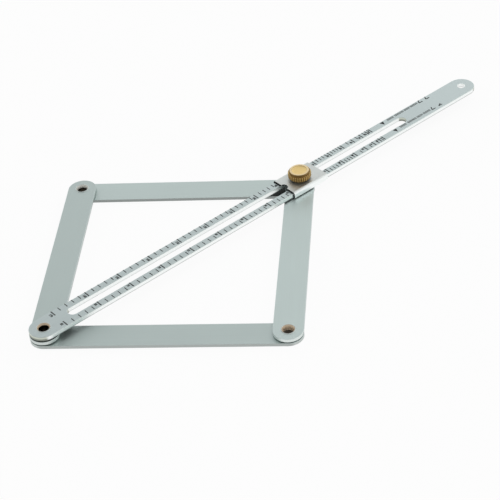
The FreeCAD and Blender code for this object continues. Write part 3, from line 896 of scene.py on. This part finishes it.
class ANGLEFINDER_OT_knob(bpy.types.Operator):
    """Turns the brass knob: a dished cap, a coarse straight knurl and a neck below"""

    bl_idname = "anglefinder.knob"
    bl_label = "Make the knob"

    bore = 3.05 * MM
    neck_inset = 0.3 * MM
    neck_height = 1.1 * MM
    cap_height = 2.0 * MM
    cap_bevel = 0.9 * MM
    cap_undercut = 0.3 * MM
    undercut_height = 0.4 * MM
    undercut_bevel = 0.2 * MM
    bevel = 0.3 * MM
    bevel_steps = 3
    dish_radius = 6.8 * MM
    dish_depth = 0.4 * MM
    dish_slope = 1.2 * MM
    slope_steps = 5
    slope_start = 350
    thread_depth = 5.2 * MM
    columns = 8
    groove_share = 0.58
    knurl_margin = 0.1 * MM
    sharp = math.radians(30)

    def execute(self, context):
        teeth, depth = sizes().knurl_teeth, sizes().knurl_depth
        foot, top = KNOB_LOW.z, KNOB_HIGH.z
        rim = (KNOB_HIGH.x - KNOB_LOW.x) / 2
        neck = rim - depth - self.neck_inset
        shape = turned(self.outline(foot, top, rim, neck), CLAMP_AXIS, teeth * self.columns)
        self.cut_knurl(shape, neck, teeth, depth)
        # The paler brass is a painted highlight, the darker brass painted shade on upright faces
        brass = turned_brass("turned_brass", CLAMP_AXIS,
                             (tuple(colours().brass), self.dish_radius),
                             tuple(colours().pale_brass),
                             (tuple(colours().worn_brass), neck + self.neck_inset / 2), rim)
        finish_piece("clamp_knob_knurled", shape, brass, "clamp_knob",
                     ["clamp_knob"], self.sharp)
        return {"FINISHED"}

    def outline(self, foot, top, rim, neck):
        """Half profile from the bore's mouth out, up the rim and back over the dish."""
        shoulder = top - self.cap_height
        undercut = (neck - self.cap_undercut, shoulder + self.undercut_height)
        rounding = (self.bevel, self.bevel)
        points = [(self.bore, foot), (neck - self.bevel, foot), (neck, foot + self.bevel),
                  (neck, foot + self.neck_height)]
        points += arc((rim - self.bevel, foot + self.neck_height + self.bevel), rounding,
                      270, 360, self.bevel_steps)
        points += arc((rim - self.bevel, shoulder - self.bevel), rounding, 0, 90, self.bevel_steps)
        points += [(undercut[0], shoulder), undercut, (neck, undercut[1] + self.undercut_bevel),
                   (neck, top - self.cap_bevel), (neck - self.cap_bevel, top),
                   (self.dish_radius, top)]
        points += arc((self.dish_radius - self.dish_slope, top),
                      (self.dish_slope, self.dish_depth), self.slope_start, 270,
                      self.slope_steps)
        points += [(0, top - self.dish_depth), (0, foot + self.thread_depth),
                   (self.bore, foot + self.thread_depth)]
        return points

    def cut_knurl(self, shape, neck, teeth, depth):
        """Draws the corners past the neck in towards the axis, in a groove for each tooth."""
        for vert in shape.verts:
            arm = Vector((vert.co.x - CLAMP_AXIS.x, vert.co.y, 0))
            if arm.length < neck + self.knurl_margin:
                continue
            turns = math.atan2(arm.y, arm.x) / math.tau * teeth
            off_groove = abs(turns - round(turns)) * 2 / self.groove_share
            vert.co -= arm.normalized() * depth * max(0, 1 - off_groove)


class ANGLEFINDER_OT_fittings(bpy.types.Operator):
    """Gives the bolt, the washers, the spacers and the bush their finishes"""

    bl_idname = "anglefinder.fittings"
    bl_label = "Finish the fittings"

    def execute(self, context):
        zinc = plated_metal("zinc", tuple(colours().plating))
        for node in ("clamp_bolt", "vertex_backing_washer", "left_backing_washer",
                     "right_backing_washer"):
            dress(node, zinc)
        dress("knob_washer", plated_metal("yellow_zinc", tuple(colours().yellow_plating)))
        light = moulded_nylon("light_nylon", tuple(colours().light_nylon))
        for node in ("vertex_lower_spacer", "vertex_upper_spacer", "left_lower_spacer",
                     "right_lower_spacer", "clamp_lower_spacer", "clamp_upper_spacer"):
            dress(node, light)
        dress("slot_bush", moulded_nylon("dark_nylon", tuple(colours().dark_nylon)))
        return {"FINISHED"}


class ANGLEFINDER_OT_stage(bpy.types.Operator):
    """Sets the camera, the pale floor, the soft lights and the white surroundings"""

    bl_idname = "anglefinder.stage"
    bl_label = "Set the stage"

    frame_width = 36
    floor_roughness = 0.9
    sky_levels = ((0.0, 1.0), (0.45, 1.0), (0.57, 0.97), (0.61, 0.60), (0.66, 0.40), (0.8, 0.42),
                  (1.0, 0.5))

    def execute(self, context):
        settings = stage_settings()
        self.place_camera(context, settings)
        self.lay_floor(context, settings)
        self.hang_softbox(context, settings)
        self.paint_surroundings(context)
        context.scene.view_settings.view_transform = "Standard"
        return {"FINISHED"}

    def outwards(self, azimuth, elevation):
        """Direction from the object to a camera or lamp."""
        return Vector((math.sin(azimuth) * math.cos(elevation),
                       -math.cos(azimuth) * math.cos(elevation), math.sin(elevation)))

    def place_camera(self, context, settings):
        lens = bpy.data.cameras.new("camera")
        lens.sensor_width = self.frame_width
        lens.lens = settings.lens
        camera = bpy.data.objects.new("camera", lens)
        back = self.outwards(settings.azimuth, settings.elevation)
        camera.location = Vector(settings.target) + back * settings.distance
        camera.rotation_mode = "QUATERNION"
        camera.rotation_quaternion = ((-back).to_track_quat("-Z", "Y")
                                      @ Quaternion((0, 0, 1), settings.roll))
        context.scene.collection.objects.link(camera)
        context.scene.camera = camera

    def lay_floor(self, context, settings):
        """A matt floor that is part plain white to the eye, so that its shadows are faint."""
        shape = bmesh.new()
        bmesh.ops.create_grid(shape, x_segments=1, y_segments=1, size=settings.floor_size / 2)
        data = bpy.data.meshes.new("floor")
        shape.to_mesh(data)
        shape.free()
        floor = bpy.data.objects.new("floor", data)
        context.scene.collection.objects.link(floor)
        material, tree, shader = new_material("pale_floor")
        shader.inputs["Base Color"].default_value = (*settings.floor_colour, 1)
        shader.inputs["Roughness"].default_value = self.floor_roughness
        shader.inputs["Specular IOR Level"].default_value = 0
        glow = tree.nodes.new("ShaderNodeEmission")
        rays = tree.nodes.new("ShaderNodeLightPath")
        chooser = tree.nodes.new("ShaderNodeMixShader")
        mirrored = maths(tree, "MAXIMUM", rays.outputs["Is Glossy Ray"],
                         rays.outputs["Is Transmission Ray"])
        share = maths(tree, "ADD",
                      maths(tree, "MULTIPLY", rays.outputs["Is Camera Ray"], settings.floor_glow),
                      maths(tree, "MULTIPLY", mirrored, settings.mirrored_glow))
        tree.links.new(share, chooser.inputs["Fac"])
        tree.links.new(shader.outputs["BSDF"], chooser.inputs[1])
        tree.links.new(glow.outputs["Emission"], chooser.inputs[2])
        tree.links.new(chooser.outputs["Shader"], tree.get_output_node("ALL").inputs["Surface"])
        data.materials.append(material)

    def hang_softbox(self, context, settings):
        lamp = bpy.data.lights.new("softbox", "SUN")
        lamp.energy = settings.softbox_strength
        lamp.angle = settings.softbox_spread
        softbox = bpy.data.objects.new("softbox", lamp)
        towards = self.outwards(settings.softbox_azimuth, settings.softbox_elevation)
        softbox.rotation_mode = "QUATERNION"
        softbox.rotation_quaternion = (-towards).to_track_quat("-Z", "Y")
        context.scene.collection.objects.link(softbox)

    def paint_surroundings(self, context):
        """White surroundings that darken overhead, for the metal to show."""
        world = bpy.data.worlds.new("surroundings")
        context.scene.world = world
        world.use_nodes = True
        tree = world.node_tree
        tree.nodes.clear()
        output = tree.nodes.new("ShaderNodeOutputWorld")
        sky = tree.nodes.new("ShaderNodeBackground")
        ramp = tree.nodes.new("ShaderNodeValToRGB")
        while len(ramp.color_ramp.elements) < len(self.sky_levels):
            ramp.color_ramp.elements.new(1)
        for element, (place, level) in zip(ramp.color_ramp.elements, self.sky_levels):
            element.position = place
            element.color = (level, level, level, 1)
        source = tree.nodes.new("ShaderNodeTexCoord")
        parts = tree.nodes.new("ShaderNodeSeparateXYZ")
        tree.links.new(source.outputs["Generated"], parts.inputs["Vector"])
        tree.links.new(parts.outputs["Z"], ramp.inputs["Fac"])
        tree.links.new(ramp.outputs["Color"], sky.inputs["Color"])
        tree.links.new(sky.outputs["Background"], output.inputs["Surface"])


class ANGLEFINDER_PT_panel(bpy.types.Panel):
    """Lists the steps in the 3D view's sidebar"""

    bl_idname = "ANGLEFINDER_PT_panel"
    bl_label = "Angle finder"
    bl_space_type = "VIEW_3D"
    bl_region_type = "UI"
    bl_category = "Angle finder"

    def draw(self, context):
        for step in STEPS:
            self.layout.operator(step.bl_idname)


SETTINGS = {
    "angle_finder_sizes": AngleFinderSizes,
    "angle_finder_colours": AngleFinderColours,
    "angle_finder_stage": AngleFinderStage,
}
STEPS = (
    ANGLEFINDER_OT_arms,
    ANGLEFINDER_OT_bar,
    ANGLEFINDER_OT_graduations,
    ANGLEFINDER_OT_numbers,
    ANGLEFINDER_OT_symbols,
    ANGLEFINDER_OT_rivets,
    ANGLEFINDER_OT_saddle,
    ANGLEFINDER_OT_knob,
    ANGLEFINDER_OT_fittings,
    ANGLEFINDER_OT_stage,
)


def register():
    for group in (*SETTINGS.values(), *STEPS, ANGLEFINDER_PT_panel):
        bpy.utils.register_class(group)
    for name, group in SETTINGS.items():
        setattr(bpy.types.Scene, name, PointerProperty(type=group))


def unregister():
    for name in SETTINGS:
        delattr(bpy.types.Scene, name)
    for group in (ANGLEFINDER_PT_panel, *reversed(STEPS), *SETTINGS.values()):
        bpy.utils.unregister_class(group)


def main():
    register()
    bpy.ops.anglefinder.arms()
    bpy.ops.anglefinder.bar()
    bpy.ops.anglefinder.graduations()
    bpy.ops.anglefinder.numbers()
    bpy.ops.anglefinder.symbols()
    bpy.ops.anglefinder.rivets()
    bpy.ops.anglefinder.saddle()
    bpy.ops.anglefinder.knob()
    bpy.ops.anglefinder.fittings()
    bpy.ops.anglefinder.stage()


if __name__ == "__main__":
    main()
